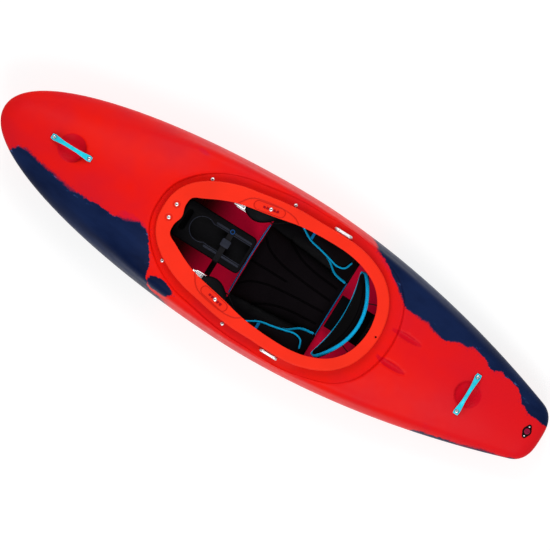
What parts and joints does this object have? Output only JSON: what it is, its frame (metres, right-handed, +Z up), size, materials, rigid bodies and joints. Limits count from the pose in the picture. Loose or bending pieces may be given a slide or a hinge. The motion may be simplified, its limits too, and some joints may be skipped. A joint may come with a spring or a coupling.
{
  "type": "whitewater kayak",
  "caption": "Whitewater kayak with a one-piece rotomoulded hull, cockpit outfitting, ratcheted backband, footrests, grab handles and a drain plug.",
  "frame": {"origin": "middle of the boat's overall length and beam, at the level of the flat planing bottom", "axes": "+X to the bow, +Y to port, +Z up"},
  "size_m": [2.26, 0.618, 0.3391],
  "materials": {
    "hull_plastic": "moulded polyethylene, semi-gloss, red marbled into navy",
    "black_plastic": "moulded black plastic",
    "black_foam": "closed-cell foam",
    "grey_foam": "closed-cell foam",
    "padding": "knitted cover over foam with blue piping",
    "webbing": "woven webbing",
    "cord": "braided cord",
    "grey_plastic": "moulded grey plastic",
    "blue_plastic": "moulded blue plastic",
    "handle_plastic": "moulded turquoise plastic",
    "plug_rubber": "soft moulded plug",
    "steel": "satin stainless steel"
  },
  "bodies": {
    "boat": {"hull_shell": "hull_plastic", "front_pillar": "black_plastic", "bow_pillar": "black_foam", "rear_pillar": "black_foam", "seat_pan": "black_plastic", "seat_pad": "padding", "bottle_strap": "webbing", "bottle_strap_buckle": "grey_plastic", "bottle_strap_ring": "blue_plastic", "bow_handle": "handle_plastic", "stern_handle": "handle_plastic", "drain_housing": "black_plastic", "seat_rail_port": "steel", "seat_rail_starboard": "steel", "hip_pad_port": "padding", "hip_pad_starboard": "padding", "hip_bolster_port": "padding", "hip_bolster_starboard": "padding", "thigh_brace_port": "black_plastic", "thigh_brace_starboard": "black_plastic", "thigh_brace_screw_port": "steel", "thigh_brace_screw_starboard": "steel", "ratchet_base_port": "steel", "ratchet_base_starboard": "steel", "foot_rail_port": "steel", "foot_rail_starboard": "steel", "rescue_bar_port": "steel", "rescue_bar_starboard": "steel", "rim_screw_port": "steel", "rim_screw_starboard": "steel", "drain_screw_port": "steel", "drain_screw_starboard": "steel", "cord_eye_port": "black_plastic", "cord_eye_starboard": "black_plastic", "groove_screw_port_1": "steel", "groove_screw_port_2": "steel", "groove_screw_starboard_1": "steel", "groove_screw_starboard_2": "steel", "bow_handle_screw_1": "steel", "stern_handle_screw_1": "steel", "bow_handle_screw_2": "steel", "stern_handle_screw_2": "steel"},
    "backband": {"backband_pad": "padding", "backband_shell": "black_plastic", "ladder_strap_port": "black_plastic", "ladder_strap_starboard": "black_plastic", "backband_strap_port": "webbing", "backband_strap_starboard": "webbing", "backband_cord_port": "cord", "backband_cord_starboard": "cord"},
    "plug": {"drain_plug": "plug_rubber"},
    "lever_port": {"ratchet_lever_port": "steel"},
    "pawl_port": {"ratchet_pawl_port": "steel"},
    "footrest_port": {"foot_plate_port": "black_plastic", "foot_pad_port": "grey_foam"},
    "lever_starboard": {"ratchet_lever_starboard": "steel"},
    "pawl_starboard": {"ratchet_pawl_starboard": "steel"},
    "footrest_starboard": {"foot_plate_starboard": "black_plastic", "foot_pad_starboard": "grey_foam"}
  },
  "joints": [
    {"name": "backband_slide", "type": "slide", "parent": "boat", "child": "backband", "axis": [1, 0, 0], "range_m": [0, 0.038]},
    {"name": "ratchet_lever_port", "type": "hinge", "parent": "boat", "child": "lever_port", "pos_m": [0.238, 0.1415, 0.244], "axis": [0, 0, 1], "range_deg": [0, 60], "stiffness_Nm_per_rad": 0.03},
    {"name": "ratchet_pawl_port", "type": "hinge", "parent": "boat", "child": "pawl_port", "pos_m": [0.212, 0.1415, 0.244], "axis": [0, 0, 1], "range_deg": [0, 20], "stiffness_Nm_per_rad": 0.02},
    {"name": "footrest_slide_port", "type": "slide", "parent": "boat", "child": "footrest_port", "axis": [1, 0, 0], "range_m": [-0.08, 0.08]},
    {"name": "ratchet_lever_starboard", "type": "hinge", "parent": "boat", "child": "lever_starboard", "pos_m": [0.238, -0.1415, 0.244], "axis": [0, 0, -1], "range_deg": [0, 60], "stiffness_Nm_per_rad": 0.03},
    {"name": "ratchet_pawl_starboard", "type": "hinge", "parent": "boat", "child": "pawl_starboard", "pos_m": [0.212, -0.1415, 0.244], "axis": [0, 0, -1], "range_deg": [0, 20], "stiffness_Nm_per_rad": 0.02},
    {"name": "footrest_slide_starboard", "type": "slide", "parent": "boat", "child": "footrest_starboard", "axis": [1, 0, 0], "range_m": [-0.08, 0.08]},
    {"name": "drain_plug_turn", "type": "hinge", "parent": "boat", "child": "plug", "pos_m": [-1.072, 0, 0.17878], "axis": [-0.1858, 0, 0.9826], "range_deg": [0, 90]}
  ]
}
